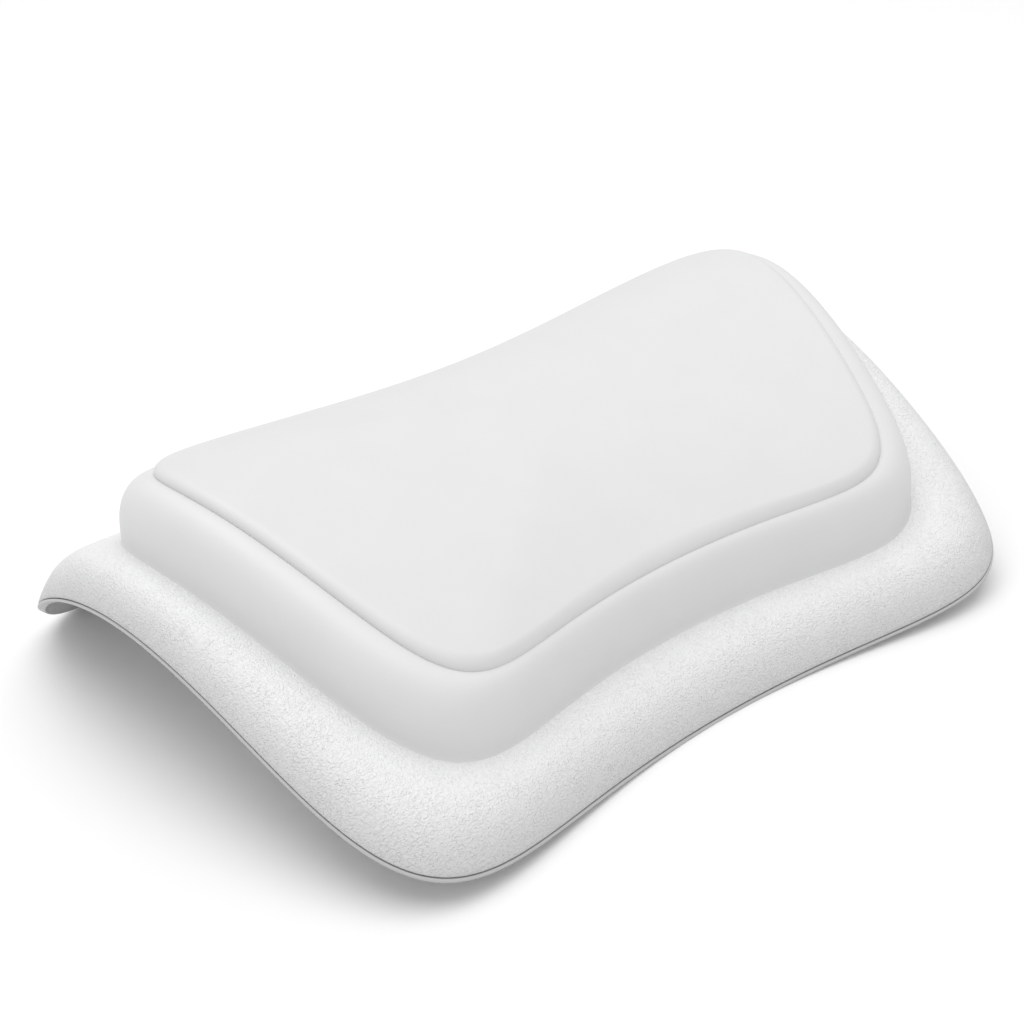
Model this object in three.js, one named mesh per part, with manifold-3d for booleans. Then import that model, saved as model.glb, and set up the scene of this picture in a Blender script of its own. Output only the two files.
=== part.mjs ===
// Bath pillow: a saddle-shaped head rest on a grained skirt, held to the bath by suction cups.
// Millimetres. X runs along the pillow, Y from its front edge to its back edge, Z up from the floor.

import * as THREE from 'three';
import Module from 'manifold-3d';
import { mergeVertices } from 'three/addons/utils/BufferGeometryUtils.js';

// Rim of the skirt in plan: length at mid-depth, depth before the corners are rounded off
const RIM_LENGTH = 360;
const RIM_DEPTH = 290;
const RIM_WAIST_FRONT = 35.8;
const RIM_WAIST_BACK = 22.6;
const RIM_END_BOW = 4.5;
const RIM_FLARE = 16.6;
const RIM_SQUARENESS_FRONT = 5.5;
const RIM_SQUARENESS_BACK = 4.8;

// Foot of the bolster in plan, set in from the rim
const SKIRT_WIDTH_END = 23.3;
const SKIRT_WIDTH_SIDE = 34.7;
const FOOT_SHIFT = -0.5;
const FOOT_WAIST_FRONT = 29.6;
const FOOT_WAIST_BACK = 23.2;
const FOOT_END_BOW = 8.3;
const FOOT_FLARE = 24.9;
const FOOT_SQUARENESS_FRONT = 6.5;
const FOOT_SQUARENESS_BACK = 3.1;

// Edge of the pad in plan, set in from the foot
const SHOULDER_WIDTH_END = 16;
const SHOULDER_WIDTH_SIDE = 19.8;
const PAD_SHIFT = -7.3;
const PAD_WAIST_FRONT = 22.7;
const PAD_WAIST_BACK = 19.9;
const PAD_END_BOW = 6.2;
const PAD_FLARE = 24.1;
const PAD_SQUARENESS_FRONT = 7.4;
const PAD_SQUARENESS_BACK = 4;

// Heights of the arched skirt at four even stations from front to back, at mid-length and at the ends
const MIDDLE_FRONT = 16.5;
const MIDDLE_FRONT_THIRD = 34.6;
const MIDDLE_BACK_THIRD = 53.6;
const MIDDLE_BACK = 10.1;
const END_FRONT = 32.3;
const END_FRONT_THIRD = 63.5;
const END_BACK_THIRD = 71.7;
const END_BACK = -13.2;

// How far the skirt rolls down from the bolster's foot to its rim
const ROLL_FRONT = 19.9;
const ROLL_END = 20.7;
const ROLL_BACK = 17.7;
const ROLL_POWER = 4.1;

// Height of the bolster above the arch, and what the ends add to it, from front to back
const BOLSTER_FRONT = 22.6;
const BOLSTER_MIDDLE = 29.3;
const BOLSTER_BACK = 21.7;
const BOLSTER_END_FRONT = 1;
const BOLSTER_END_MIDDLE = 2.2;
const BOLSTER_END_BACK = -2.4;
const BULGE = 0.4;
const BULGE_LEVEL = 0.12;

// Pad: thickness and width of its rolled edge, and how far its middle is crowned
const PAD_EDGE = 4;
const PAD_ROLL = 4.5;
const PAD_CROWN = 9.4;

// Layers, which thin towards the rim, the gap between bonded layers, and the depth that the rim is
// worn flat where it rests
const SKIRT_THICKNESS = 4;
const SKIRT_EDGE = 1.5;
const LINER_THICKNESS = 3;
const LINER_EDGE = 1.9;
const COVER_WALL = 3;
const SEAT_GAP = 0.3;
const REST_DEPTH = 1.2;

// Lip of the liner, which turns up past the skirt's edge and shows as a band at the rim
const RIM_BAND = 2.4;
const SEAM_GAP = 0.35;

// Suction cups and the sockets that hold their heads
const CUP_SPACING = 100;
const CUP_ROW_FRONT = -38;
const CUP_ROW_BACK = 52;
const CUP_RADIUS = 20;
const CUP_HEIGHT = 10;
const CUP_LIP = 2.4;
const CUP_LIP_EDGE = 0.8;
const CUP_CROWN_WALL = 3;
const CUP_TRAVEL = 2.5;
const NECK_RADIUS = 4.2;
const HEAD_RADIUS = 6.6;
const HEAD_HEIGHT = 3;
const HEAD_CHAMFER = 1.2;
const SOCKET_HEIGHT = 13;
const SOCKET_LEDGE = 2.5;
const SOCKET_WALL = 4.4;
const SOCKET_DRAFT = 1.5;

// Facets round each outline, closer together at its corners, round each cup and along a rounded profile
const FACETS = 56;
const CORNER_CROWDING = 0.6;
const CUP_FACETS = 24;
const CURVE_STEPS = 5;

// How far above and below the pillow the cutting blocks reach
const CLEAR_OF_ALL = 200;

const RIM = {
  halfLength: RIM_LENGTH / 2,
  halfDepth: RIM_DEPTH / 2,
  shift: 0,
  waistFront: RIM_WAIST_FRONT,
  waistBack: RIM_WAIST_BACK,
  bow: RIM_END_BOW,
  flare: RIM_FLARE,
  squarenessFront: RIM_SQUARENESS_FRONT,
  squarenessBack: RIM_SQUARENESS_BACK,
};
const FOOT = {
  halfLength: RIM.halfLength - SKIRT_WIDTH_END,
  halfDepth: RIM.halfDepth - SKIRT_WIDTH_SIDE,
  shift: FOOT_SHIFT,
  waistFront: FOOT_WAIST_FRONT,
  waistBack: FOOT_WAIST_BACK,
  bow: FOOT_END_BOW,
  flare: FOOT_FLARE,
  squarenessFront: FOOT_SQUARENESS_FRONT,
  squarenessBack: FOOT_SQUARENESS_BACK,
};
const PAD = {
  halfLength: FOOT.halfLength - SHOULDER_WIDTH_END,
  halfDepth: FOOT.halfDepth - SHOULDER_WIDTH_SIDE,
  shift: PAD_SHIFT,
  waistFront: PAD_WAIST_FRONT,
  waistBack: PAD_WAIST_BACK,
  bow: PAD_END_BOW,
  flare: PAD_FLARE,
  squarenessFront: PAD_SQUARENESS_FRONT,
  squarenessBack: PAD_SQUARENESS_BACK,
};

const MIDDLE_HEIGHTS = [MIDDLE_FRONT, MIDDLE_FRONT_THIRD, MIDDLE_BACK_THIRD, MIDDLE_BACK];
const END_HEIGHTS = [END_FRONT, END_FRONT_THIRD, END_BACK_THIRD, END_BACK];
const ROLL_DROPS = [ROLL_FRONT, ROLL_END, ROLL_BACK];
const BOLSTER_HEIGHTS = [BOLSTER_FRONT, BOLSTER_MIDDLE, BOLSTER_BACK];
const BOLSTER_END_HEIGHTS = [BOLSTER_END_FRONT, BOLSTER_END_MIDDLE, BOLSTER_END_BACK];

const wasm = await Module();
wasm.setup();

// Smooth curve through values at even stations from v = -1 to v = 1
function curveThrough(values, v) {
  const station = (i) => (2 * i) / (values.length - 1) - 1;
  let sum = 0;
  values.forEach((value, i) => {
    let weight = 1;
    values.forEach((_, j) => {
      if (j !== i) weight *= (v - station(j)) / (station(i) - station(j));
    });
    sum += value * weight;
  });
  return sum;
}

// Place on a rounded square of half side 1, in the direction of an angle
function squarePoint(outline, angle) {
  const c = Math.cos(angle);
  const s = Math.sin(angle);
  const squareness = s < 0 ? outline.squarenessFront : outline.squarenessBack;
  const reach = (Math.abs(c) ** squareness + Math.abs(s) ** squareness) ** (-1 / squareness);
  return new THREE.Vector2(reach * c, reach * s);
}

// Place on an outline: its long sides draw in at the middle, its ends bow out and flare to the back
function outlinePoint(outline, angle) {
  const unit = squarePoint(outline, angle);
  const waist = unit.y < 0 ? outline.waistFront : outline.waistBack;
  const x = unit.x * (outline.halfLength + outline.flare * unit.y - outline.bow * unit.y ** 2);
  const y = outline.shift + unit.y * (outline.halfDepth - waist * (1 - unit.x ** 2));
  return new THREE.Vector2(x, y);
}

// Share of the way from an outline's centre to the outline itself
function insideOutline(outline, angle, share) {
  const centre = new THREE.Vector2(0, outline.shift);
  return centre.lerp(outlinePoint(outline, angle), share);
}

function endShare(x) {
  return (x / RIM.halfLength) ** 2;
}

// Height of the arched sheet that everything is built on
function archHeight(x, y) {
  const v = y / RIM.halfDepth;
  const ends = endShare(x);
  return (1 - ends) * curveThrough(MIDDLE_HEIGHTS, v) + ends * curveThrough(END_HEIGHTS, v);
}

// Height of the bolster's top above the arch
function bolsterHeight(x, y) {
  const v = y / RIM.halfDepth;
  return curveThrough(BOLSTER_HEIGHTS, v) + endShare(x) * curveThrough(BOLSTER_END_HEIGHTS, v);
}

// Top of the skirt: ring 0 is its centre, ring 1 the bolster's foot and ring 2 the rim
function skirtPoint(angle, ring) {
  const roll = Math.max(0, ring - 1);
  const foot = insideOutline(FOOT, angle, Math.min(ring, 1));
  const place = foot.lerp(outlinePoint(RIM, angle), roll);
  const drop = curveThrough(ROLL_DROPS, squarePoint(RIM, angle).y) * roll ** ROLL_POWER;
  return new THREE.Vector3(place.x, place.y, archHeight(place.x, place.y) - drop);
}

// Upward normal of the skirt's top, from small steps along and across its rings
function skirtNormal(angle, ring) {
  const step = 1e-3;
  const from = Math.max(ring - step, step);
  const outwards = skirtPoint(angle, from + 2 * step).sub(skirtPoint(angle, from));
  const round = skirtPoint(angle + step, from + step).sub(skirtPoint(angle - step, from + step));
  return outwards.cross(round).normalize();
}

// Place a depth under the skirt's top, square to it
function underSkirt(angle, ring, depth) {
  return skirtPoint(angle, ring).addScaledVector(skirtNormal(angle, ring), -depth);
}

// Side of the bolster: it bulges past its foot, then rolls in over the shoulder to the pad's edge.
// An inset moves the same side inwards and down, for the inside of the cover and for the core.
function bolsterSide(angle, turn, inset) {
  const foot = outlinePoint(FOOT, angle);
  const edge = outlinePoint(PAD, angle);
  const width = foot.distanceTo(edge);
  const inwards = edge.sub(foot).normalize();
  const reach = width - (width + BULGE) * Math.cos(turn);
  const undercut = bolsterUndercut(angle);
  const above = BULGE_LEVEL + (1 - BULGE_LEVEL) * Math.sin(turn);
  const below = BULGE_LEVEL * (1 + Math.sin(turn) / Math.sin(undercut));
  const level = turn < 0 ? below : above;
  const place = foot.addScaledVector(inwards, reach + inset);
  const rise = bolsterHeight(place.x, place.y) - SEAT_GAP - inset;
  const z = archHeight(place.x, place.y) + SEAT_GAP + level * rise;
  return new THREE.Vector3(place.x, place.y, z);
}

// Angle below the bulge at which the side meets the skirt
function bolsterUndercut(angle) {
  const width = outlinePoint(FOOT, angle).distanceTo(outlinePoint(PAD, angle));
  return Math.acos(width / (width + BULGE));
}

// Top of the bolster, or a face the given height above it
function bolsterTop(angle, share, above) {
  const place = insideOutline(PAD, angle, share);
  const z = archHeight(place.x, place.y) + bolsterHeight(place.x, place.y) + above;
  return new THREE.Vector3(place.x, place.y, z);
}

// Crowned top of the pad, with a rolled edge
function padTop(angle, inset) {
  const edge = outlinePoint(PAD, angle);
  const share = 1 - inset / edge.distanceTo(new THREE.Vector2(0, PAD.shift));
  const lift = Math.sqrt(1 - Math.max(0, 1 - inset / PAD_ROLL) ** 2);
  return bolsterTop(angle, share, SEAT_GAP + PAD_EDGE * lift + PAD_CROWN * (1 - share ** 2));
}

// Ring of places round an outline
function ringOf(pointAt) {
  const ring = [];
  for (let i = 0; i < FACETS; i += 1) {
    const even = (2 * Math.PI * i) / FACETS;
    ring.push(pointAt(even + (CORNER_CROWDING / 4) * Math.sin(4 * even)));
  }
  return ring;
}

// Closed surface from one pole, out over rings of places on one face and back in over the other face.
// Both faces split their bands the same way, so that faces which lie together have parallel facets.
function closedSurface(firstPole, outRings, inRings, lastPole) {
  const rings = [...outRings, ...inRings];
  const positions = [firstPole, ...rings.flat(), lastPole].flatMap((p) => [p.x, p.y, p.z]);
  const at = (ring, i) => 1 + ring * FACETS + (i % FACETS);
  const last = rings.length - 1;
  const index = [];
  for (let i = 0; i < FACETS; i += 1) {
    index.push(0, at(0, i), at(0, i + 1));
    for (let ring = 0; ring < last; ring += 1) {
      const [a, b] = [at(ring, i), at(ring, i + 1)];
      const [c, d] = [at(ring + 1, i), at(ring + 1, i + 1)];
      if (ring < outRings.length - 1) index.push(a, c, d, a, d, b);
      else index.push(a, c, b, c, d, b);
    }
    index.push(at(last, i), 1 + rings.length * FACETS, at(last, i + 1));
  }
  const geometry = new THREE.BufferGeometry();
  geometry.setAttribute('position', new THREE.Float32BufferAttribute(positions, 3));
  geometry.setIndex(index);
  return geometry;
}

function toSolid(geometry) {
  const bare = geometry.clone();
  bare.deleteAttribute('normal');
  bare.deleteAttribute('uv');
  const merged = mergeVertices(bare, 1e-4);
  const corners = merged.index.array;
  const triVerts = [];
  for (let i = 0; i < corners.length; i += 3) {
    const [a, b, c] = [corners[i], corners[i + 1], corners[i + 2]];
    if (a !== b && b !== c && c !== a) triVerts.push(a, b, c);
  }
  const vertProperties = new Float32Array(merged.attributes.position.array);
  const mesh = new wasm.Mesh({ numProp: 3, vertProperties, triVerts: new Uint32Array(triVerts) });
  return new wasm.Manifold(mesh);
}

function toGeometry(solid) {
  const mesh = solid.getMesh();
  const geometry = new THREE.BufferGeometry();
  geometry.setAttribute('position', new THREE.Float32BufferAttribute(mesh.vertProperties, 3));
  geometry.setIndex([...mesh.triVerts]);
  return geometry;
}

// Rings that the layers share, so that their facets lie parallel: shares of the way from the centre
// to the foot, and from the foot to the seam on the skirt's top and under it
const INNER_RINGS = [0.25, 0.5, 0.75];
const ROLL_SHARES = [0.25, 0.5, 0.7, 0.85, 1];
const UNDER_SHARES = [0, 0.42, 0.72, 0.88, 1];
const RIM_RING = 2;
const CORE_INSET = COVER_WALL + SEAT_GAP;

// Depth below the skirt's top of the skirt's underside and of the liner's two faces
function thinned(full, edge, ring) {
  return full + (edge - full) * Math.max(0, ring - 1) ** 2;
}

function skirtUnderside(ring) {
  return thinned(SKIRT_THICKNESS, SKIRT_EDGE, ring);
}

function linerTop(ring) {
  return skirtUnderside(ring) + SEAT_GAP;
}

function linerUnderside(ring) {
  return linerTop(ring) + thinned(LINER_THICKNESS, LINER_EDGE, ring);
}

// Place of the core's foot on the skirt
function coreFoot(angle) {
  return raised(bolsterSide(angle, -bolsterUndercut(angle), CORE_INSET), -SEAT_GAP);
}

function raised(point, by) {
  return new THREE.Vector3(point.x, point.y, point.z + by);
}

// Ring that lies a distance in from the rim, measured over the skirt's top
function ringFromRim(angle, distance) {
  const step = 1e-3;
  const pace = skirtPoint(angle, RIM_RING).distanceTo(skirtPoint(angle, RIM_RING - step)) / step;
  return RIM_RING - distance / pace;
}

// Ring a share of the way from the foot to the seam
function rollRing(angle, share) {
  return 1 + (ringFromRim(angle, RIM_BAND + SEAM_GAP) - 1) * share;
}

// Rings of a face whose depth below the skirt's top is given for each ring
function underRings(depthAt) {
  const under = (angle, ring) => underSkirt(angle, ring, depthAt(ring));
  const inner = INNER_RINGS.map((ring) => ringOf((angle) => under(angle, ring)));
  const outer = UNDER_SHARES.map((share) => ringOf((angle) => under(angle, rollRing(angle, share))));
  return [...inner, ...outer];
}

function grainSkirt() {
  const inner = INNER_RINGS.map((ring) => ringOf((angle) => skirtPoint(angle, ring)));
  const outer = [0, ...ROLL_SHARES].map((share) => (
    ringOf((angle) => skirtPoint(angle, rollRing(angle, share)))
  ));
  const under = underRings(skirtUnderside).reverse();
  const over = [...inner, ringOf(coreFoot), ...outer];
  return closedSurface(skirtPoint(0, 0), over, under, underSkirt(0, 0, skirtUnderside(0)));
}

// Rings of the liner's underside, out to the rim
function linerRings() {
  const heel = ringOf((angle) => underSkirt(angle, RIM_RING, linerUnderside(RIM_RING)));
  return [...underRings(linerUnderside), heel];
}

// Liner under the skirt, with a lip past the skirt's edge, cut flat where its rim rests
function baseLiner(restHeight) {
  const lipFoot = ringOf((angle) => {
    const ring = ringFromRim(angle, RIM_BAND);
    return underSkirt(angle, ring, linerTop(ring));
  });
  const lipTop = ringOf((angle) => skirtPoint(angle, ringFromRim(angle, RIM_BAND)));
  const rim = ringOf((angle) => skirtPoint(angle, RIM_RING));
  const over = [...underRings(linerTop), lipFoot, lipTop, rim];
  const under = linerRings().reverse();
  const poles = [underSkirt(0, 0, linerTop(0)), underSkirt(0, 0, linerUnderside(0))];
  const sheet = closedSurface(poles[0], over, under, poles[1]);
  const floor = new THREE.BoxGeometry(2 * RIM_LENGTH, 2 * RIM_DEPTH, CLEAR_OF_ALL);
  floor.translate(0, 0, restHeight - CLEAR_OF_ALL / 2);
  return toGeometry(toSolid(sheet).subtract(toSolid(floor)));
}

function turnsFrom(start) {
  const turns = [];
  for (let i = 0; i <= CURVE_STEPS; i += 1) turns.push(start + ((Math.PI / 2 - start) * i) / CURVE_STEPS);
  return turns;
}

// Rings down the side of the bolster, from the pad's edge to the foot
function sideRings(inset) {
  const over = turnsFrom(0).reverse();
  const rings = over.map((turn) => ringOf((angle) => bolsterSide(angle, turn, inset)));
  rings.push(ringOf((angle) => bolsterSide(angle, -bolsterUndercut(angle), inset)));
  return rings;
}

function topRings(inset) {
  return INNER_RINGS.map((share) => ringOf((angle) => bolsterTop(angle, share, -inset)));
}

// Cover of the bolster, a skin that is open below
function bodyCover() {
  const outside = [...topRings(0), ...sideRings(0)];
  const inside = [...topRings(COVER_WALL), ...sideRings(COVER_WALL)].reverse();
  return closedSurface(bolsterTop(0, 0, 0), outside, inside, bolsterTop(0, 0, -COVER_WALL));
}

function foamCore() {
  const over = [...topRings(CORE_INSET), ...sideRings(CORE_INSET)];
  const seat = INNER_RINGS.map((ring) => ringOf((angle) => raised(skirtPoint(angle, ring), SEAT_GAP)));
  const lastPole = raised(skirtPoint(0, 0), SEAT_GAP);
  return closedSurface(bolsterTop(0, 0, -CORE_INSET), over, seat.reverse(), lastPole);
}

function topPad() {
  const crown = INNER_RINGS.map((share) => ringOf((angle) => {
    const reach = outlinePoint(PAD, angle).distanceTo(new THREE.Vector2(0, PAD.shift));
    return padTop(angle, reach * (1 - share));
  }));
  const edge = turnsFrom(0).reverse().map((turn) => (
    ringOf((angle) => padTop(angle, PAD_ROLL * (1 - Math.cos(turn))))
  ));
  const seat = INNER_RINGS.map((share) => ringOf((angle) => bolsterTop(angle, share, SEAT_GAP)));
  const firstPole = bolsterTop(0, 0, SEAT_GAP + PAD_EDGE + PAD_CROWN);
  return closedSurface(firstPole, [...crown, ...edge], seat.reverse(), bolsterTop(0, 0, SEAT_GAP));
}

// Heights along a cup's axis, from the floor of its socket
const HEAD_BASE = SOCKET_LEDGE + SEAT_GAP;
const HEAD_TOP = HEAD_BASE + HEAD_HEIGHT;
const CHAMBER_TOP = HEAD_TOP + CUP_TRAVEL + SEAT_GAP;
const BELL_TOP = -(CUP_TRAVEL + SEAT_GAP);
const CUP_RIM = BELL_TOP - CUP_HEIGHT;

function revolved(profile) {
  const points = profile.map(([radius, height]) => new THREE.Vector2(radius, height));
  const geometry = new THREE.LatheGeometry(points, CUP_FACETS);
  geometry.rotateX(Math.PI / 2);
  return geometry;
}

// Quarter of an ellipse from its rim, at the given height, up to its crown
function domeProfile(rimRadius, crownRadius, rimHeight, crownHeight) {
  return turnsFrom(0).map((turn) => [
    crownRadius + (rimRadius - crownRadius) * Math.cos(turn),
    rimHeight + (crownHeight - rimHeight) * Math.sin(turn),
  ]);
}

function suctionCup() {
  const inside = domeProfile(CUP_RADIUS - CUP_LIP, 0, CUP_RIM, BELL_TOP - CUP_CROWN_WALL).reverse();
  const outside = domeProfile(CUP_RADIUS, NECK_RADIUS, CUP_RIM + CUP_LIP_EDGE, BELL_TOP);
  return revolved([
    ...inside,
    [CUP_RADIUS, CUP_RIM],
    ...outside,
    [NECK_RADIUS, HEAD_BASE],
    [HEAD_RADIUS, HEAD_BASE],
    [HEAD_RADIUS, HEAD_TOP - HEAD_CHAMFER],
    [HEAD_RADIUS - HEAD_CHAMFER, HEAD_TOP],
    [0, HEAD_TOP],
  ]);
}

// Moulded boss with a chamber for the cup's head, cut to the liner that it is bonded to
function cupSocket(ceiling) {
  const chamber = HEAD_RADIUS + SEAT_GAP;
  const outer = chamber + SOCKET_WALL;
  const blank = revolved([
    [0, CHAMBER_TOP],
    [chamber, CHAMBER_TOP],
    [chamber, SOCKET_LEDGE],
    [NECK_RADIUS + SEAT_GAP, SOCKET_LEDGE],
    [NECK_RADIUS + SEAT_GAP, 0],
    [outer, 0],
    [outer + SOCKET_DRAFT, 2 * SOCKET_HEIGHT],
    [0, 2 * SOCKET_HEIGHT],
  ]);
  return toGeometry(toSolid(blank).subtract(ceiling));
}

// Block from just under the liner up past the pillow
function linerCeiling() {
  const depthAt = (ring) => linerUnderside(ring) + SEAT_GAP;
  const face = underRings(depthAt);
  const faceCentre = underSkirt(0, 0, depthAt(0));
  const roof = face.map((ring) => ring.map((point) => raised(point, CLEAR_OF_ALL)));
  const roofCentre = raised(faceCentre, CLEAR_OF_ALL);
  return toSolid(closedSurface(roofCentre, roof, face.reverse(), faceCentre));
}

// Height of the liner's underside, seen from below at a place in plan
function linerHeight(x, y) {
  const step = 1;
  const slopeX = (archHeight(x + step, y) - archHeight(x - step, y)) / (2 * step);
  const slopeY = (archHeight(x, y + step) - archHeight(x, y - step)) / (2 * step);
  return archHeight(x, y) - linerUnderside(0) * Math.hypot(1, slopeX, slopeY);
}

const rimPlaces = ringOf((angle) => skirtPoint(angle, RIM_RING));
const rimCentreY = (Math.min(...rimPlaces.map((p) => p.y)) + Math.max(...rimPlaces.map((p) => p.y))) / 2;
const lowest = Math.min(...linerRings().flat().map((p) => p.z));
const restHeight = lowest + REST_DEPTH;

const SMOOTH_WHITE = { color: 0xeceded, roughness: 0.5, metalness: 0 };
const GRAIN_WHITE = { color: 0xe9eaea, roughness: 0.6, metalness: 0 };
const LINER_WHITE = { color: 0xdfe0e0, roughness: 0.45, metalness: 0 };
const FOAM_WHITE = { color: 0xe2e0d8, roughness: 0.9, metalness: 0 };
const CUP_CLEAR = { color: 0xd9dee0, roughness: 0.2, metalness: 0 };

const pillow = new THREE.Group();
pillow.position.set(0, -rimCentreY, -restHeight);

function addPiece(name, geometry, finish, parent) {
  geometry.computeVertexNormals();
  const mesh = new THREE.Mesh(geometry, new THREE.MeshStandardMaterial(finish));
  mesh.name = name;
  parent.add(mesh);
}

addPiece('grain_skirt', grainSkirt(), GRAIN_WHITE, pillow);
addPiece('base_liner', baseLiner(restHeight), LINER_WHITE, pillow);
addPiece('foam_core', foamCore(), FOAM_WHITE, pillow);
addPiece('body_cover', bodyCover(), SMOOTH_WHITE, pillow);
addPiece('top_pad', topPad(), SMOOTH_WHITE, pillow);

const ceiling = linerCeiling();
let cupNumber = 0;
for (const y of [CUP_ROW_FRONT, CUP_ROW_BACK]) {
  for (const x of [-CUP_SPACING, 0, CUP_SPACING]) {
    cupNumber += 1;
    const station = new THREE.Group();
    station.position.set(x, y, linerHeight(x, y) - SOCKET_HEIGHT);
    const { x: px, y: py, z: pz } = station.position;
    addPiece(`cup_socket_${cupNumber}`, cupSocket(ceiling.translate([-px, -py, -pz])), LINER_WHITE, station);
    addPiece(`suction_cup_${cupNumber}`, suctionCup(), CUP_CLEAR, station);
    pillow.add(station);
  }
}

export default pillow;
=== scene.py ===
import math

import bpy
import numpy as np
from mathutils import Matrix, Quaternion, Vector


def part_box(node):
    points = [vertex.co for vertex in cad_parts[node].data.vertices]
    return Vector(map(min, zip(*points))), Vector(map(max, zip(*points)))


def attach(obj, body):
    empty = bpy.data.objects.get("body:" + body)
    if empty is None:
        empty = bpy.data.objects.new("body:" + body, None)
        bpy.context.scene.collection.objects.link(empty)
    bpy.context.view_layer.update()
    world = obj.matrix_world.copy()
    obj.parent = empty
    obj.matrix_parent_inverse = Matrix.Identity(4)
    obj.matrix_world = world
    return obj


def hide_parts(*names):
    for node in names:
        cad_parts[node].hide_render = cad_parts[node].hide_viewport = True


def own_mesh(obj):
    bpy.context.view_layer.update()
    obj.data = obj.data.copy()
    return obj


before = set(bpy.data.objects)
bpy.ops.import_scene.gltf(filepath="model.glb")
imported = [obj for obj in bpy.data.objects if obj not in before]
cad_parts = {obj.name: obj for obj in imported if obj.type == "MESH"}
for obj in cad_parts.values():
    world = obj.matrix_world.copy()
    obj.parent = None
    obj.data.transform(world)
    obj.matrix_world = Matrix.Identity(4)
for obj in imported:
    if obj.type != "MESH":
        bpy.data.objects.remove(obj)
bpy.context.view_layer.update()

MM_PER_M = 1000

# Sizes of the moulded form in millimetres, as in the part

# Outlines: half sizes, shift to the back, waists, bow and flare of the ends, squareness of the corners
RIM = {
    "length": 180, "depth": 145, "shift": 0,
    "front": 35.8, "back": 22.6, "bow": 4.5, "flare": 16.6,
    "square_front": 5.5, "square_back": 4.8,
}
FOOT = {
    "length": 156.7, "depth": 110.3, "shift": -0.5,
    "front": 29.6, "back": 23.2, "bow": 8.3, "flare": 24.9,
    "square_front": 6.5, "square_back": 3.1,
}
PAD = {
    "length": 140.7, "depth": 90.5, "shift": -7.3,
    "front": 22.7, "back": 19.9, "bow": 6.2, "flare": 24.1,
    "square_front": 7.4, "square_back": 4,
}

# Heights of the arch from front to back, in the middle of the pillow and at its ends
MIDDLE_HEIGHTS = (16.5, 34.6, 53.6, 10.1)
END_HEIGHTS = (32.3, 63.5, 71.7, -13.2)

# Drop of the skirt's roll at the rim from front to back, and how late the drop comes
ROLL_DROPS = (19.9, 20.7, 17.7)
ROLL_POWER = 4.1

# Height of the bolster over the arch from front to back, and what the ends add to it
BOLSTER_HEIGHTS = (22.6, 29.3, 21.7)
BOLSTER_END_HEIGHTS = (1, 2.2, -2.4)

# How far the bolster's side bulges past its foot, and at what share of its height
BULGE = 0.4
BULGE_LEVEL = 0.12

# Height of the pad's edge, width of its roll and height of its crown
PAD_EDGE = 4
PAD_ROLL = 4.5
PAD_CROWN = 9.4

# Thickness of the skirt and the liner, in the middle and at the rim
SKIRT_THICKNESS = 4
SKIRT_EDGE = 1.5
LINER_THICKNESS = 3
LINER_EDGE = 1.9

# Gaps at the seam, and between pieces that seat on each other in the part
SEAM_GAP = 0.35
SEAT_GAP = 0.3

# Shift by which the part's source centres the form and sets it down
FORM_SHIFT = np.array((0, -2.0671, 0.7601))

# Softer edges than the solids have: fillet at the bolster's foot, squarer shoulder, tuck at the pad's base
FOOT_FILLET = 1.0
SHOULDER_ROUND = 0.86
PAD_TUCK = 0.3

# How far the bolster and the pad sink into what they sit on
SEAT_SINK = 0.15

# Points round the form, closer together at its corners, starting at the middle of its back edge
POINTS_ROUND = 288
CORNER_CROWDING = 0.5
EVEN_ANGLES = math.pi / 2 + np.linspace(0, 2 * math.pi, POINTS_ROUND, endpoint=False)
ANGLES = EVEN_ANGLES + CORNER_CROWDING / 4 * np.sin(4 * EVEN_ANGLES)
POLE = np.zeros(1)

# Steps across the form: shares of the way out, counts of steps, and turns of the rounds
INNER = np.linspace(0.1, 0.9, 9)
NEAR_FOOT = (0.96, 0.985)
SKIRT_STEPS = 44
UNDERSIDE_STEPS = 24
TOP_SHARES = np.linspace(0.1, 0.96, 12)
SIDE_STEPS = 32
PAD_SHARES = np.linspace(0.08, 0.96, 18)
PAD_ROLL_STEPS = 18
QUARTER = np.linspace(0, math.pi / 2, 6)
FILLET_TURNS = np.linspace(0, math.pi / 2, 9)[1:]


def curve_through(values, v):
    """Smooth curve through values at even stations from v = -1 to v = 1."""
    stations = np.linspace(-1, 1, len(values))
    total = 0
    for i, value in enumerate(values):
        weight = 1
        for j, station in enumerate(stations):
            if j != i:
                weight = weight * (v - station) / (stations[i] - station)
        total = total + value * weight
    return total


def square_point(form, angle):
    """Place on a rounded square of half side 1, in the direction of an angle."""
    c, s = np.cos(angle), np.sin(angle)
    squareness = np.where(s < 0, form["square_front"], form["square_back"])
    reach = (np.abs(c) ** squareness + np.abs(s) ** squareness) ** (-1 / squareness)
    return reach * c, reach * s


def outline(form, angle):
    """Place on an outline, seen from above."""
    ux, uy = square_point(form, angle)
    waist = np.where(uy < 0, form["front"], form["back"])
    x = ux * (form["length"] + form["flare"] * uy - form["bow"] * uy ** 2)
    y = form["shift"] + uy * (form["depth"] - waist * (1 - ux ** 2))
    return np.stack((x, y), -1)


def inside(form, angle, share):
    """Place a share of the way from an outline's centre to the outline."""
    centre = np.array((0.0, form["shift"]))
    return centre + (outline(form, angle) - centre) * share


def end_share(place):
    """From 0 in the middle of the pillow to 1 at its ends."""
    return (place[..., 0] / RIM["length"]) ** 2


def arch(place):
    """Height of the arched sheet that everything is built on."""
    v = place[..., 1] / RIM["depth"]
    ends = end_share(place)
    return (1 - ends) * curve_through(MIDDLE_HEIGHTS, v) + ends * curve_through(END_HEIGHTS, v)


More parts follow.
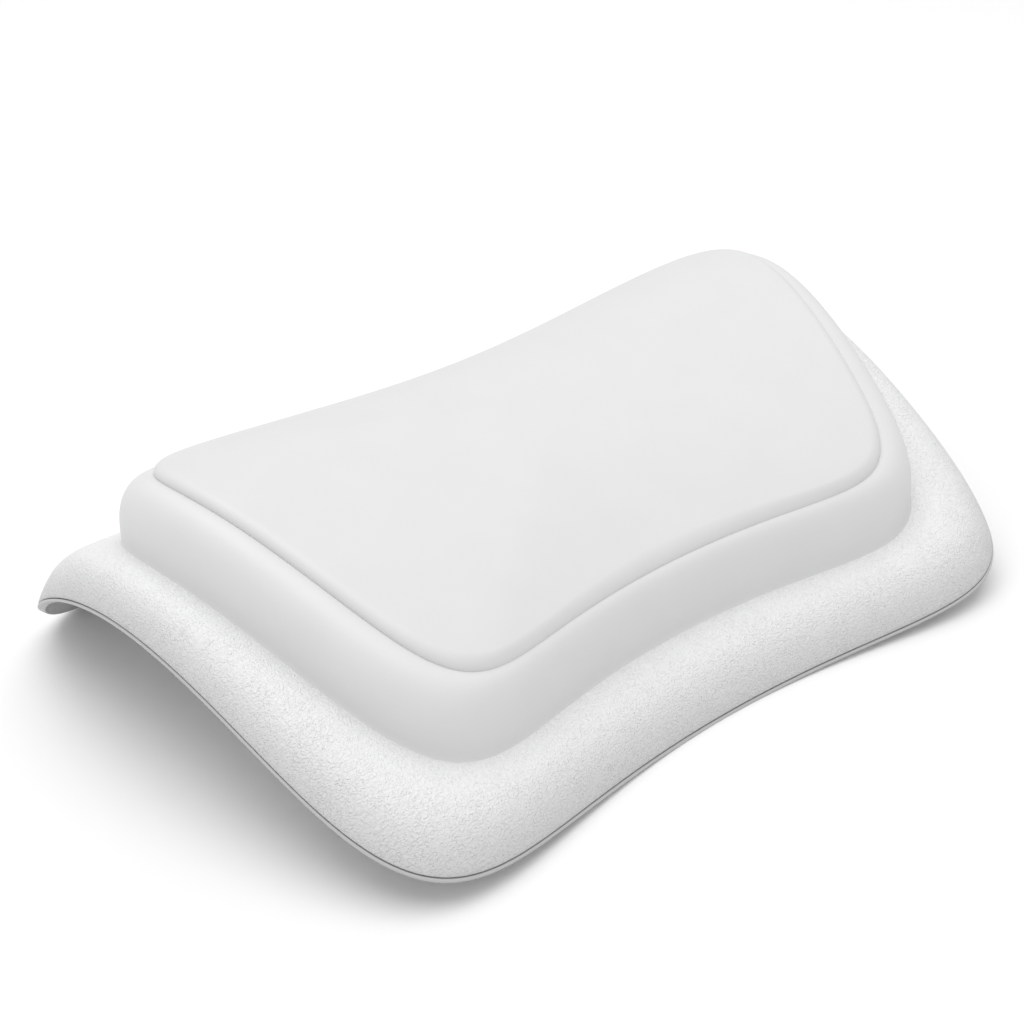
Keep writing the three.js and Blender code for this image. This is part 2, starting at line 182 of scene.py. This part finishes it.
def bolster(place):
    """Height of the bolster's top above the arch."""
    v = place[..., 1] / RIM["depth"]
    return curve_through(BOLSTER_HEIGHTS, v) + end_share(place) * curve_through(BOLSTER_END_HEIGHTS, v)


def with_height(place, z):
    return np.concatenate((place, z[..., None]), -1)


def skirt_point(angle, ring):
    """Top of the skirt: ring 0 is its centre, ring 1 the bolster's foot and ring 2 the rim."""
    ring = np.broadcast_to(ring, np.shape(angle))
    roll = np.maximum(0, ring - 1)
    place = inside(FOOT, angle, np.minimum(ring, 1)[..., None])
    place = place + (outline(RIM, angle) - place) * roll[..., None]
    drop = curve_through(ROLL_DROPS, square_point(RIM, angle)[1]) * roll ** ROLL_POWER
    return with_height(place, arch(place) - drop)


def under_skirt(angle, ring, depth):
    """Place under the skirt's top, square to it."""
    step = 1e-3
    start = np.maximum(ring - step, step)
    outwards = skirt_point(angle, start + 2 * step) - skirt_point(angle, start)
    around = skirt_point(angle + step, start + step) - skirt_point(angle - step, start + step)
    normal = np.cross(outwards, around)
    normal /= np.linalg.norm(normal, axis=-1, keepdims=True)
    return skirt_point(angle, ring) - np.broadcast_to(depth, np.shape(angle))[..., None] * normal


def thinned(full, edge, ring):
    """Thickness that is full inside the bolster's foot and falls to that of the edge at the rim."""
    return full + (edge - full) * np.maximum(0, ring - 1) ** 2


def skirt_underside(ring):
    """Depth of the skirt's underside below its top."""
    return thinned(SKIRT_THICKNESS, SKIRT_EDGE, ring)


def liner_top(ring):
    """Depth of the liner's top below the skirt's top."""
    return skirt_underside(ring) + SEAT_GAP


def liner_underside(ring):
    """Depth of the liner's underside below the skirt's top."""
    return liner_top(ring) + thinned(LINER_THICKNESS, LINER_EDGE, ring)


def bolster_side(angle, turn):
    """Side of the bolster, from just above its foot in over the shoulder to the pad's edge."""
    foot, edge = outline(FOOT, angle), outline(PAD, angle)
    inwards = edge - foot
    width = np.linalg.norm(inwards, axis=-1)
    inwards = inwards / width[..., None]
    reach = width - (width + BULGE) * max(0, math.cos(turn)) ** SHOULDER_ROUND
    level = BULGE_LEVEL + (1 - BULGE_LEVEL) * math.sin(turn) ** SHOULDER_ROUND
    place = foot + inwards * reach[..., None]
    return with_height(place, arch(place) + SEAT_GAP + level * (bolster(place) - SEAT_GAP))


def bolster_fillet(angle, turn):
    """Fillet that runs out from the bolster's side on to the skirt."""
    width = np.linalg.norm(outline(RIM, angle) - outline(FOOT, angle), axis=-1)
    out = BULGE + FOOT_FILLET * (1 - math.cos(turn))
    start = bolster_side(angle, 0) - skirt_point(angle, 1 + BULGE / width)
    place = skirt_point(angle, 1 + out / width)
    place[..., 2] += (start[..., 2] + SEAT_SINK) * (1 - math.sin(turn)) - SEAT_SINK
    return place


def bolster_top(angle, share, above):
    """Place above the bolster's top, a share of the way out to the pad's edge."""
    place = inside(PAD, angle, np.broadcast_to(share, np.shape(angle))[..., None])
    return with_height(place, arch(place) + bolster(place) + above)


def pad_reach(angle):
    return np.linalg.norm(outline(PAD, angle) - np.array((0, PAD["shift"])), axis=-1)


def pad_top(angle, inset):
    """Crowned top of the pad, with a rolled edge."""
    share = 1 - inset / pad_reach(angle)
    lift = np.sqrt(1 - np.maximum(0, 1 - inset / PAD_ROLL) ** 2)
    edge = PAD_TUCK + (SEAT_GAP + PAD_EDGE - PAD_TUCK) * lift
    return bolster_top(angle, share, edge + PAD_CROWN * (1 - share ** 2))


def pad_tuck(angle, turn):
    """Base of the pad's edge, which tucks in on to the bolster."""
    share = 1 - PAD_TUCK * (1 - math.cos(turn)) / pad_reach(angle)
    return bolster_top(angle, share, (PAD_TUCK + SEAT_SINK) * (1 - math.sin(turn)) - SEAT_SINK)


def new_object(name, vertices, faces):
    mesh = bpy.data.meshes.new(name)
    mesh.from_pydata([tuple(v) for v in vertices], [], faces)
    mesh.shade_smooth()
    obj = bpy.data.objects.new(name, mesh)
    bpy.context.scene.collection.objects.link(obj)
    return obj


def closed_form(name, first_pole, rings, last_pole):
    """Closed mesh, in metres, from one pole over rings of places to the other pole."""
    count = len(rings[0])
    vertices = np.concatenate(([first_pole], *rings, [last_pole])) / MM_PER_M
    last = len(vertices) - 1
    end = last - count
    faces = []
    for i in range(count):
        j = (i + 1) % count
        faces.append((0, 1 + i, 1 + j))
        for r in range(len(rings) - 1):
            a = 1 + r * count
            b = a + count
            faces.append((a + i, b + i, b + j, a + j))
        faces.append((end + i, last, end + j))
    return new_object(name, vertices, faces)


def set_down(place):
    """The form in the part's frame: moved to its place, and flat where it rests."""
    moved = place + FORM_SHIFT
    moved[..., 2] = np.maximum(moved[..., 2], 0)
    return moved


def moulded(name, first_pole, rings, last_pole):
    return closed_form(name, set_down(first_pole), [set_down(r) for r in rings], set_down(last_pole))


# Rim: the skirt's edge stops short of it, and the liner's lip makes the last of the outer face
LIP_BAND = 1.6
SKIRT_ROUND = 1.0
LIP_ROUND = 0.5
LIP_SET_BACK = 0.1
RIM_ROUND = 0.8
HEEL_ROUND = 0.9
RIM_STEP = 1e-3
RIM_PACE = np.linalg.norm(skirt_point(ANGLES, 2) - skirt_point(ANGLES, 2 - RIM_STEP), axis=-1) / RIM_STEP


def from_rim(distance):
    """Ring that lies a distance in from the rim, measured over the surface."""
    return 2 - distance / RIM_PACE


def skirt_round(turn):
    ring = from_rim(LIP_BAND + SEAM_GAP + SKIRT_ROUND * (1 - math.sin(turn)))
    return under_skirt(ANGLES, ring, SKIRT_ROUND * (1 - math.cos(turn)))


def lip_round(turn):
    ring = from_rim(LIP_BAND - LIP_ROUND * (1 - math.cos(turn)))
    return under_skirt(ANGLES, ring, LIP_SET_BACK + LIP_ROUND * (1 - math.sin(turn)))


def rim_round(turn):
    ring = from_rim(RIM_ROUND * (1 - math.sin(turn)))
    return under_skirt(ANGLES, ring, LIP_SET_BACK + RIM_ROUND * (1 - math.cos(turn)))


def heel_round(turn):
    ring = from_rim(HEEL_ROUND * (1 - math.cos(turn)))
    return under_skirt(ANGLES, ring, liner_underside(ring) - HEEL_ROUND * (1 - math.sin(turn)))


SEAM_RING = from_rim(LIP_BAND + SEAM_GAP)
LIP_RING = from_rim(LIP_BAND)
ROUND_RING = from_rim(LIP_BAND + SEAM_GAP + SKIRT_ROUND)
HEEL_RING = from_rim(HEEL_ROUND)


def rings_out_to(ring, steps):
    """Rings from the bolster's foot out to another ring."""
    return [1 + (ring - 1) * s for s in np.linspace(0, 1, steps)]


# How near the rim each point of the skirt and the liner lies, from 0 at the bolster's foot to 1 at the
# seam; it sets the painted shade at the rim and the strength of the grain
RIM_SHARE = "rim_share"


def add_rim_share(piece, rings):
    shares = [np.zeros(1)]
    for ring in rings:
        share = np.clip((ring - 1) / (SEAM_RING - 1), 0, 1)
        shares.append(np.broadcast_to(share, POINTS_ROUND))
    shares.append(np.zeros(1))
    attribute = piece.data.attributes.new(RIM_SHARE, "FLOAT", "POINT")
    attribute.data.foreach_set("value", np.concatenate(shares))


def make_skirt():
    """Skirt, from its centre out over the top, round its edge and back underneath."""
    above = [*INNER, *NEAR_FOOT, *rings_out_to(ROUND_RING, SKIRT_STEPS)[:-1]]
    below = [*rings_out_to(SEAM_RING, UNDERSIDE_STEPS)[::-1], *INNER[::-1]]
    rings = [skirt_point(ANGLES, r) for r in above]
    rings += [skirt_round(t) for t in QUARTER]
    rings += [under_skirt(ANGLES, r, skirt_underside(r)) for r in below]
    top = skirt_point(POLE, 0)[0]
    skirt = moulded("skirt", top, rings, under_skirt(POLE, 0, skirt_underside(0))[0])
    # The skirt's rounded edge counts as at the seam and takes the full painted shade
    add_rim_share(skirt, [*above, *[SEAM_RING] * len(QUARTER), *below])
    return skirt


def make_liner():
    """Liner, from its centre out under the skirt, round its lip, rim and heel, and back underneath."""
    above = [*INNER, *rings_out_to(SEAM_RING, UNDERSIDE_STEPS), LIP_RING]
    below = [*rings_out_to(HEEL_RING, UNDERSIDE_STEPS)[:-1][::-1], *INNER[::-1]]
    edge = [corner(t) for corner in (lip_round, rim_round, heel_round) for t in QUARTER]
    rings = [under_skirt(ANGLES, r, liner_top(r)) for r in above]
    rings += edge
    rings += [under_skirt(ANGLES, r, liner_underside(r)) for r in below]
    top = under_skirt(POLE, 0, liner_top(0))[0]
    liner = moulded("liner", top, rings, under_skirt(POLE, 0, liner_underside(0))[0])
    # The liner's lip, rim and heel count as at the seam and take the full painted shade; its underside
    # takes none
    add_rim_share(liner, [*above, *[SEAM_RING] * len(edge), *[1] * len(below)])
    return liner


def make_bolster():
    """Bolster: one foam form in its moulded skin."""
    sunk = np.array((0, 0, -SEAT_SINK))
    rings = [bolster_top(ANGLES, s, 0) for s in TOP_SHARES]
    rings += [bolster_side(ANGLES, t) for t in np.linspace(math.pi / 2, 0, SIDE_STEPS)]
    rings += [bolster_fillet(ANGLES, t) for t in FILLET_TURNS]
    rings += [skirt_point(ANGLES, r) + sunk for r in INNER[::-1]]
    return moulded("bolster", bolster_top(POLE, 0, 0)[0], rings, skirt_point(POLE, 0)[0] + sunk)


def make_pad():
    """Pad, from its crown out over the rolled edge, in at the tuck and back underneath."""
    middle = pad_reach(ANGLES) - PAD_ROLL
    rings = [pad_top(ANGLES, PAD_ROLL + middle * (1 - s)) for s in PAD_SHARES]
    rings += [
        pad_top(ANGLES, PAD_ROLL * (1 - math.cos(t))) for t in np.linspace(math.pi / 2, 0, PAD_ROLL_STEPS)
    ]
    rings += [pad_tuck(ANGLES, t) for t in FILLET_TURNS]
    rings += [bolster_top(ANGLES, s, -SEAT_SINK) for s in TOP_SHARES[::-1]]
    top = bolster_top(POLE, 0, SEAT_GAP + PAD_EDGE + PAD_CROWN)[0]
    return moulded("pad", top, rings, bolster_top(POLE, 0, -SEAT_SINK)[0])


# Suction cups, and the bosses on the liner that hold their heads
CUP_COUNT = 6
CUP_RADIUS = 20
CUP_HEIGHT = 10
CUP_LIP = 2.4
CUP_EDGE_ROUND = 0.5
CUP_HOLLOW = 7
CUP_TRAVEL = 2.5
BELL_EDGE = 0.9
NECK_RADIUS = 4.2
NECK_FILLET = 1.2
HEAD_RADIUS = 6.6
HEAD_HEIGHT = 3
HEAD_FILLET = 0.5
HEAD_EDGE_ROUND = 0.4
HEAD_TOP_ROUND = 1.2
SOCKET_LEDGE = 2.5
SOCKET_RADIUS = 11.3
SOCKET_DRAFT = 0.6
SOCKET_FILLET = 2.4
SOCKET_SINK = 0.3
SOCKET_EDGE_ROUND = 0.8
HOLE_EDGE_ROUND = 0.4
HOLE_RADIUS = NECK_RADIUS + SEAT_GAP
CHAMBER_RADIUS = HEAD_RADIUS + SEAT_GAP
BELL_RADIUS = NECK_RADIUS + NECK_FILLET
SOCKET_FLOOR = CUP_HEIGHT + CUP_TRAVEL + SEAT_GAP
CHAMBER_FLOOR = SOCKET_FLOOR + SOCKET_LEDGE
HEAD_BASE = CHAMBER_FLOOR + SEAT_GAP
HEAD_TOP = HEAD_BASE + HEAD_HEIGHT
CHAMBER_TOP = HEAD_TOP + CUP_TRAVEL + SEAT_GAP
CUP_POINTS = 72
CUP_ANGLES = np.linspace(0, 2 * math.pi, CUP_POINTS, endpoint=False)


def oval(centre, radii, start, stop, steps):
    """Places (radius, height) along an elliptical arc, angles in degrees."""
    return [
        (centre[0] + radii[0] * math.cos(math.radians(a)), centre[1] + radii[1] * math.sin(math.radians(a)))
        for a in np.linspace(start, stop, steps)
    ]


def arc(radius, height, size, start, stop, steps):
    """Places (radius, height) along a round arc of a size."""
    return oval((radius, height), (size, size), start, stop, steps)


def circle(centre, radius, height):
    """Ring about a vertical axis; the height may differ round the ring."""
    x = centre[0] + radius * np.cos(CUP_ANGLES)
    y = centre[1] + radius * np.sin(CUP_ANGLES)
    return np.stack((x, y, centre[2] + np.broadcast_to(height, x.shape)), -1)


CUP_PROFILE = [
    *oval((0, 0), (CUP_RADIUS - CUP_LIP, CUP_HOLLOW), 84, 0, 16),
    *arc(CUP_RADIUS - CUP_EDGE_ROUND, CUP_EDGE_ROUND, CUP_EDGE_ROUND, -90, 0, 5),
    *oval((BELL_RADIUS, BELL_EDGE), (CUP_RADIUS - BELL_RADIUS, CUP_HEIGHT - BELL_EDGE), 0, 88, 18),
    *arc(BELL_RADIUS, CUP_HEIGHT + NECK_FILLET, NECK_FILLET, 270, 180, 5),
    *arc(NECK_RADIUS + HEAD_FILLET, HEAD_BASE - HEAD_FILLET, HEAD_FILLET, 180, 90, 4),
    *arc(HEAD_RADIUS - HEAD_EDGE_ROUND, HEAD_BASE + HEAD_EDGE_ROUND, HEAD_EDGE_ROUND, -90, 0, 4),
    *arc(HEAD_RADIUS - HEAD_TOP_ROUND, HEAD_TOP - HEAD_TOP_ROUND, HEAD_TOP_ROUND, 0, 90, 6),
]
SOCKET_PROFILE = [
    *arc(SOCKET_RADIUS - SOCKET_EDGE_ROUND, SOCKET_FLOOR + SOCKET_EDGE_ROUND, SOCKET_EDGE_ROUND, 0, -90, 5),
    *arc(HOLE_RADIUS + HOLE_EDGE_ROUND, SOCKET_FLOOR + HOLE_EDGE_ROUND, HOLE_EDGE_ROUND, 270, 180, 4),
    (HOLE_RADIUS, CHAMBER_FLOOR),
    (CHAMBER_RADIUS, CHAMBER_FLOOR),
    (CHAMBER_RADIUS, CHAMBER_TOP),
]


def liner_height(place):
    """Height of the liner's underside, seen from below."""
    step = 1.0
    slope_x = (arch(place + (step, 0)) - arch(place - (step, 0))) / (2 * step)
    slope_y = (arch(place + (0, step)) - arch(place - (0, step))) / (2 * step)
    return arch(place) - liner_underside(0) * np.sqrt(1 + slope_x ** 2 + slope_y ** 2)


def liner_above(centre, radius):
    """Height of the liner's underside over a ring, counted from the cup's rim."""
    place = circle(centre, radius, 0)[..., :2] - FORM_SHIFT[:2]
    return liner_height(place) + FORM_SHIFT[2] - centre[2]


def make_cup(number, centre):
    """Suction cup, from its hollow over the lip, the bell and the neck to its head."""
    rings = [circle(centre, r, z) for r, z in CUP_PROFILE]
    return closed_form(f"cup_{number}", centre + (0, 0, CUP_HOLLOW), rings, centre + (0, 0, HEAD_TOP))


def make_socket(number, centre):
    """Boss, from just inside the liner out over a fillet, down its side and up into its socket."""
    foot = SOCKET_RADIUS + SOCKET_DRAFT
    rings = []
    for radius in (SOCKET_RADIUS / 2, foot + SOCKET_FILLET):
        rings.append(circle(centre, radius, liner_above(centre, radius) + SOCKET_SINK))
    for turn in QUARTER[1:]:
        radius = foot + SOCKET_FILLET * (1 - math.sin(turn))
        height = liner_above(centre, radius) - SOCKET_FILLET * (1 - math.cos(turn))
        rings.append(circle(centre, radius, height))
    rings += [circle(centre, r, z) for r, z in SOCKET_PROFILE]
    top = liner_above(centre, 0)[0] + SOCKET_SINK
    return closed_form(f"socket_{number}", centre + (0, 0, top), rings, centre + (0, 0, CHAMBER_TOP))


skirt = make_skirt()
liner = make_liner()
body = make_bolster()
pad = make_pad()
cups, sockets = [], []
for number in range(1, CUP_COUNT + 1):
    low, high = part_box(f"suction_cup_{number}")
    centre = np.array(((low.x + high.x) / 2, (low.y + high.y) / 2, low.z)) * MM_PER_M
    cups.append(make_cup(number, centre))
    sockets.append(make_socket(number, centre))

# Painted shade: share of their brightness that the skirt and the liner lose at the seam, and how late they
# lose it; it stands in for shade on the rim, not a real change of colour
RIM_PAINTED_SHADE = 0.25
RIM_PAINTED_SHADE_POWER = 3.4

# Range that most of a noise lies in, and its middle
NOISE_LOW = 0.3
NOISE_HIGH = 0.7
NOISE_MIDDLE = 0.5

# Smooth skins and vinyl: noise scales per metre, and relief in metres
MOTTLE_SCALE = 45
PEEL_SCALE = 900
PEEL_STRENGTH = 0.25
PEEL_RELIEF = 0.00004
PEEL_ROUGHNESS = 0.05
CLOUD_SCALE = 120
CLOUD_STRENGTH = 0.15
CLOUD_RELIEF = 0.0001

# Grain: noise scales per metre, and reach and relief in metres
WANDER_SCALE = 500
WANDER_REACH = 0.0015
PEBBLE_SCALE = 700
PEBBLE_EDGE = 0.4
PEBBLE_WEIGHT = 0.15
WRINKLE_SCALE = 1250
GRAIN_MIDDLE = 0.58
GRAIN_SPREAD = 0.3
GRAIN_RELIEF = 0.00072

# Roughness that the bottom of the grain gains and its top loses
GRAIN_DULL = 0.1
GRAIN_SHINE = 0.05

# Strength of the grain: in a faint patch, at the bolster's foot, and past a share of the way to the seam
PATCH_SCALE = 90
PATCH_GRAIN = 0.75
FOOT_GRAIN = 0.85
RIM_GRAIN = 1.08
RIM_GRAIN_SHARE = 0.6


class Shader:
    """A Principled material, with a short way to add and join nodes."""

    def __init__(self, name, colour, roughness):
        self.material = bpy.data.materials.new(name)
        self.material.use_nodes = True
        self.nodes = self.material.node_tree.nodes
        self.links = self.material.node_tree.links
        self.surface = self.nodes["Principled BSDF"]
        self.set(self.surface, {"Base Color": (*colour, 1), "Roughness": roughness})

    def set(self, node, inputs):
        for name, value in inputs.items():
            if isinstance(value, bpy.types.NodeSocket):
                self.links.new(value, node.inputs[name])
            else:
                node.inputs[name].default_value = value
        return node

    def add(self, kind, inputs, **settings):
        node = self.nodes.new(kind)
        for name, value in settings.items():
            setattr(node, name, value)
        return self.set(node, inputs)

    def place(self):
        return self.nodes.new("ShaderNodeTexCoord").outputs["Object"]

    def rim_share(self):
        """Nearness to the rim, which is 0 on a piece that doesn't hold it."""
        return self.add("ShaderNodeAttribute", {}, attribute_name=RIM_SHARE).outputs["Fac"]

    def noise(self, vector, scale, detail=2, roughness=0.5):
        inputs = {"Vector": vector, "Scale": scale, "Detail": detail, "Roughness": roughness}
        return self.add("ShaderNodeTexNoise", inputs)

    def maths(self, operation, a, b):
        return self.add("ShaderNodeMath", {0: a, 1: b}, operation=operation).outputs[0]

    def vector_maths(self, operation, inputs):
        return self.add("ShaderNodeVectorMath", inputs, operation=operation).outputs[0]

    def ramp(self, value, low, high, to_low, to_high):
        inputs = {"Value": value, "From Min": low, "From Max": high, "To Min": to_low, "To Max": to_high}
        return self.add("ShaderNodeMapRange", inputs).outputs[0]

    def noise_ramp(self, noise, to_low, to_high):
        return self.ramp(noise, NOISE_LOW, NOISE_HIGH, to_low, to_high)

    def tint(self, value, dark, light):
        """Colour between two near whites, with painted shade that darkens it towards the rim."""
        ramp = self.add("ShaderNodeValToRGB", {"Fac": value})
        ramp.color_ramp.elements[0].color = (*dark, 1)
        ramp.color_ramp.elements[1].color = (*light, 1)
        # Painted shade: the colour darkens towards the rim by the rim share, standing in for the shade that
        # falls there
        painted_rim_shade = self.maths("MULTIPLY", self.maths("POWER", self.rim_share(), RIM_PAINTED_SHADE_POWER), RIM_PAINTED_SHADE)
        unshaded_share = self.maths("SUBTRACT", 1.0, painted_rim_shade)
        shaded = self.vector_maths("SCALE", {0: ramp.outputs["Color"], "Scale": unshaded_share})
        self.set(self.surface, {"Base Color": shaded})

    def bump(self, height, strength, distance):
        inputs = {"Height": height, "Strength": strength, "Distance": distance}
        self.set(self.surface, {"Normal": self.add("ShaderNodeBump", inputs).outputs["Normal"]})


def smooth_skin(name, dark, light, roughness):
    """Moulded skin: faint mottling, and the dull orange peel that a mould leaves."""
    skin = Shader(name, light, roughness)
    place = skin.place()
    mottle = skin.noise(place, MOTTLE_SCALE, detail=3, roughness=0.55).outputs["Fac"]
    skin.tint(skin.noise_ramp(mottle, 0, 1), dark, light)
    peel = skin.noise(place, PEEL_SCALE).outputs["Fac"]
    gloss = (roughness - PEEL_ROUGHNESS, roughness + PEEL_ROUGHNESS)
    skin.set(skin.surface, {"Roughness": skin.noise_ramp(peel, *gloss)})
    skin.bump(peel, PEEL_STRENGTH, PEEL_RELIEF)
    return skin.material


def grained_skin(name, dark, light, roughness):
    """Leather grain: fine wrinkles over small pebbles, fainter in patches and towards the foot."""
    skin = Shader(name, light, roughness)
    place = skin.place()
    wander = skin.noise(place, WANDER_SCALE).outputs["Color"]
    centred = skin.vector_maths("SUBTRACT", {0: wander, 1: (NOISE_MIDDLE,) * 3})
    bend = skin.vector_maths("SCALE", {0: centred, "Scale": WANDER_REACH})
    bent = skin.vector_maths("ADD", {0: place, 1: bend})
    cell = {"Vector": bent, "Scale": PEBBLE_SCALE}
    cells = skin.add("ShaderNodeTexVoronoi", cell, feature="DISTANCE_TO_EDGE")
    pebble = skin.ramp(cells.outputs["Distance"], 0, PEBBLE_EDGE, 0, PEBBLE_WEIGHT)
    wrinkle = skin.noise(bent, WRINKLE_SCALE, detail=1, roughness=0.4).outputs["Fac"]
    height = skin.maths("SUBTRACT", skin.maths("ADD", pebble, wrinkle), GRAIN_MIDDLE)
    patch = skin.noise_ramp(skin.noise(place, PATCH_SCALE).outputs["Fac"], PATCH_GRAIN, 1)
    strength = skin.ramp(skin.rim_share(), 0, RIM_GRAIN_SHARE, FOOT_GRAIN, RIM_GRAIN)
    height = skin.maths("MULTIPLY", height, skin.maths("MULTIPLY", patch, strength))
    # The grain's low parts are painted darker: painted shade in its hollows
    skin.tint(skin.ramp(height, -GRAIN_SPREAD, GRAIN_SPREAD, 0, 1), dark, light)
    gloss = (roughness + GRAIN_DULL, roughness - GRAIN_SHINE)
    skin.set(skin.surface, {"Roughness": skin.ramp(height, -GRAIN_SPREAD, GRAIN_SPREAD, *gloss)})
    skin.bump(height, 1.0, GRAIN_RELIEF)
    return skin.material


def clear_vinyl(name, dark, light, roughness):
    """Soft clear vinyl, a little cloudy."""
    vinyl = Shader(name, light, roughness)
    vinyl.set(vinyl.surface, {"Transmission Weight": 0.55, "IOR": 1.5})
    cloud = vinyl.noise(vinyl.place(), CLOUD_SCALE).outputs["Fac"]
    vinyl.tint(vinyl.noise_ramp(cloud, 0, 1), dark, light)
    vinyl.bump(cloud, CLOUD_STRENGTH, CLOUD_RELIEF)
    return vinyl.material


pad_paint = smooth_skin(
    "pad_skin", dark=(0.625, 0.627, 0.63), light=(0.637, 0.639, 0.642), roughness=0.5
)
body_paint = smooth_skin(
    "bolster_skin", dark=(0.642, 0.644, 0.647), light=(0.655, 0.657, 0.66), roughness=0.48
)
liner_paint = smooth_skin(
    "liner_skin", dark=(0.6, 0.602, 0.605), light=(0.63, 0.632, 0.635), roughness=0.45
)
grain_paint = grained_skin(
    "grain_skin", dark=(0.726, 0.729, 0.731), light=(0.77, 0.773, 0.775), roughness=0.5
)
cup_paint = clear_vinyl("cup_vinyl", dark=(0.74, 0.8, 0.82), light=(0.82, 0.87, 0.89), roughness=0.16)

for piece, paint, slot, cad_nodes in (
    (skirt, grain_paint, "grained_skin", ("grain_skirt",)),
    (liner, liner_paint, "liner_skin", ("base_liner",)),
    (body, body_paint, "smooth_skin", ("body_cover", "foam_core")),
    (pad, pad_paint, "pad_skin", ("top_pad",)),
):
    piece.data.materials.append(paint)
    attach(piece, "pillow")
    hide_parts(*cad_nodes)

for number, (cup, socket) in enumerate(zip(cups, sockets), 1):
    socket.data.materials.append(liner_paint)
    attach(socket, "pillow")
    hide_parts(f"cup_socket_{number}")
    cup.data.materials.append(cup_paint)
    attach(cup, f"cup_{number}")
    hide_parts(f"suction_cup_{number}")
    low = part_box(f"suction_cup_{number}")[0]
    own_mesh(cup)

# Floor and light, in metres
FLOOR_REACH = 6
FLOOR_COLOUR = (0.84, 0.84, 0.84)
SKY_STRENGTH = 0.8
floor_corners = [(x, y, 0) for x, y in ((-1, -1), (1, -1), (1, 1), (-1, 1))]
floor = new_object("floor", np.array(floor_corners) * FLOOR_REACH, [(0, 1, 2, 3)])
floor.data.materials.append(Shader("floor_paint", FLOOR_COLOUR, roughness=0.9).material)

scene = bpy.context.scene
scene.view_settings.view_transform = "Standard"
world = bpy.data.worlds.new("studio")
world.use_nodes = True
sky = world.node_tree.nodes["Background"]
sky.inputs["Color"].default_value = (1, 1, 1, 1)
sky.inputs["Strength"].default_value = SKY_STRENGTH
scene.world = world


def softbox(name, place, aim, size, power):
    data = bpy.data.lights.new(name, "AREA")
    data.shape = "SQUARE"
    data.size = size
    data.energy = power
    lamp = bpy.data.objects.new(name, data)
    lamp.location = place
    lamp.rotation_euler = (Vector(aim) - Vector(place)).to_track_quat("-Z", "Y").to_euler()
    scene.collection.objects.link(lamp)


softbox("key", place=(-0.08, 0.12, 2.0), aim=(0, 0, 0), size=2.0, power=25)
softbox("fill", place=(-1.6, -0.1, 0.45), aim=(0, 0, 0.05), size=1.2, power=1.2)

# The photograph's camera: direction and turn in degrees, distance in metres, lens and centre in pixels
IMAGE = 1024
AZIMUTH = -39.08
ELEVATION = 32.72
DISTANCE = 0.7579
TURN = -1.02
FOCAL = 1836.0
CENTRE_X = 544.6
CENTRE_Y = 513.9

# Height of the place that it looks at, and width of its sensor, in millimetres
AIM_HEIGHT = 40
SENSOR_WIDTH = 36
azimuth, elevation = math.radians(AZIMUTH), math.radians(ELEVATION)
back = Vector((
    math.sin(azimuth) * math.cos(elevation),
    -math.cos(azimuth) * math.cos(elevation),
    math.sin(elevation),
))
target = Vector(FORM_SHIFT + (0, 0, AIM_HEIGHT)) / MM_PER_M
camera_data = bpy.data.cameras.new("camera")
camera_data.sensor_width = SENSOR_WIDTH
camera_data.lens = SENSOR_WIDTH * FOCAL / IMAGE
camera_data.shift_x = (IMAGE / 2 - CENTRE_X) / IMAGE
camera_data.shift_y = (CENTRE_Y - IMAGE / 2) / IMAGE
camera = bpy.data.objects.new("camera", camera_data)
camera.location = target + back * DISTANCE
camera.rotation_mode = "QUATERNION"
level = (-back).to_track_quat("-Z", "Y")
camera.rotation_quaternion = level @ Quaternion((0, 0, 1), math.radians(TURN))
scene.collection.objects.link(camera)
scene.camera = camera
